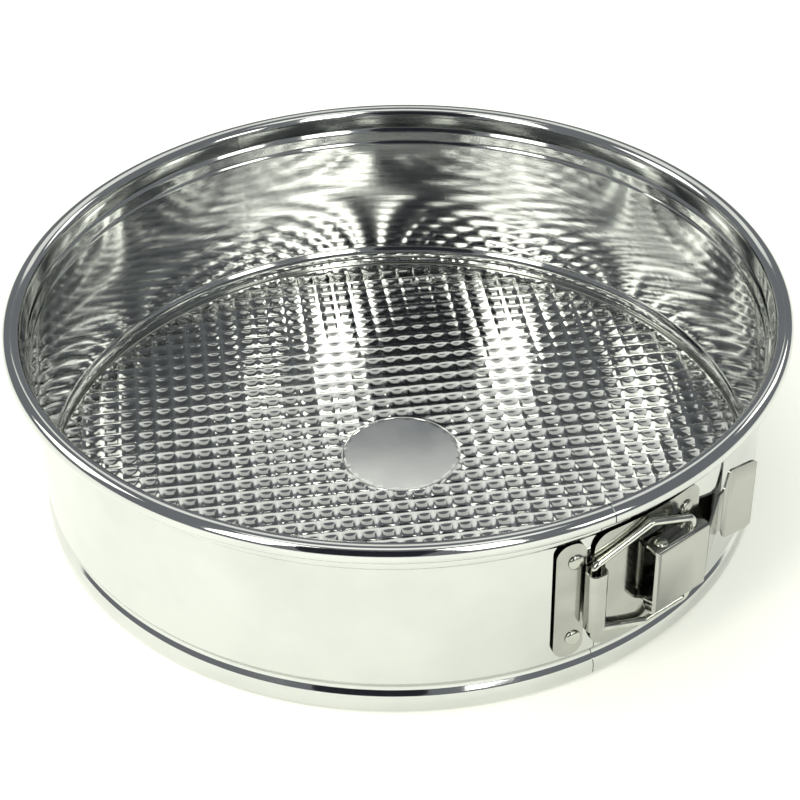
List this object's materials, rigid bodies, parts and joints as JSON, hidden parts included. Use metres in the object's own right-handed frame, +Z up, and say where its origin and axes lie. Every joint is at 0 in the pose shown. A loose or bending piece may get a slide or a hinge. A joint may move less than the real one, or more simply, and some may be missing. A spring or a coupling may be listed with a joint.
{
  "type": "springform pan",
  "caption": "Round cake tin with a sprung ring that opens at an over-centre latch and releases its embossed lift-out base.",
  "frame": {"origin": "the pan's axis at the table, in the middle of the base's flat underside", "axes": "+Z up along the pan's axis, -Y through the ring's seam and latch, +X from the catch towards the lever"},
  "size_m": [0.2518, 0.2518, 0.0699],
  "materials": {
    "ring_tinplate": "bright rolled tinplate",
    "base_tinplate": "bright tinplate, embossed in a waffle pattern",
    "latch_plating": "bright plated sheet steel",
    "wire_steel": "plated steel wire",
    "rivet_steel": "plated steel"
  },
  "bodies": {
    "base": {"base_plate": "base_tinplate"},
    "ring_left": {"band_left": "ring_tinplate", "catch_plate": "latch_plating", "catch_rivet_upper": "rivet_steel", "catch_rivet_lower": "rivet_steel"},
    "ring_right": {"band_right": "ring_tinplate", "bracket_plate": "latch_plating", "bracket_rivet_upper": "rivet_steel", "bracket_rivet_lower": "rivet_steel", "pivot_pin": "rivet_steel"},
    "lever": {"lever": "latch_plating"},
    "bail": {"bail": "wire_steel"}
  },
  "joints": [
    {"name": "left_flex", "type": "hinge", "parent": "base", "child": "ring_left", "pos_m": [0, 0.1263, 0], "axis": [0, 0, -1], "range_deg": [0, 0.61]},
    {"name": "right_flex", "type": "hinge", "parent": "base", "child": "ring_right", "pos_m": [0, 0.1263, 0], "axis": [0, 0, 1], "range_deg": [0, 0.61]},
    {"name": "lever_swing", "type": "hinge", "parent": "ring_right", "child": "lever", "pos_m": [0.01912, -0.12211, 0.0352], "axis": [0, 0, -1], "range_deg": [0, 80]},
    {"name": "bail_swing", "type": "hinge", "parent": "lever", "child": "bail", "pos_m": [0.03154, -0.12023, 0.0352], "axis": [0, 0, 1], "range_deg": [0, 57]}
  ],
  "couplings": [
    {"joint": "bail_swing", "follows": "lever_swing", "ratio": 0.707},
    {"joint": "left_flex", "follows": "lever_swing", "ratio": 0.0075},
    {"joint": "right_flex", "follows": "lever_swing", "ratio": 0.0075}
  ]
}
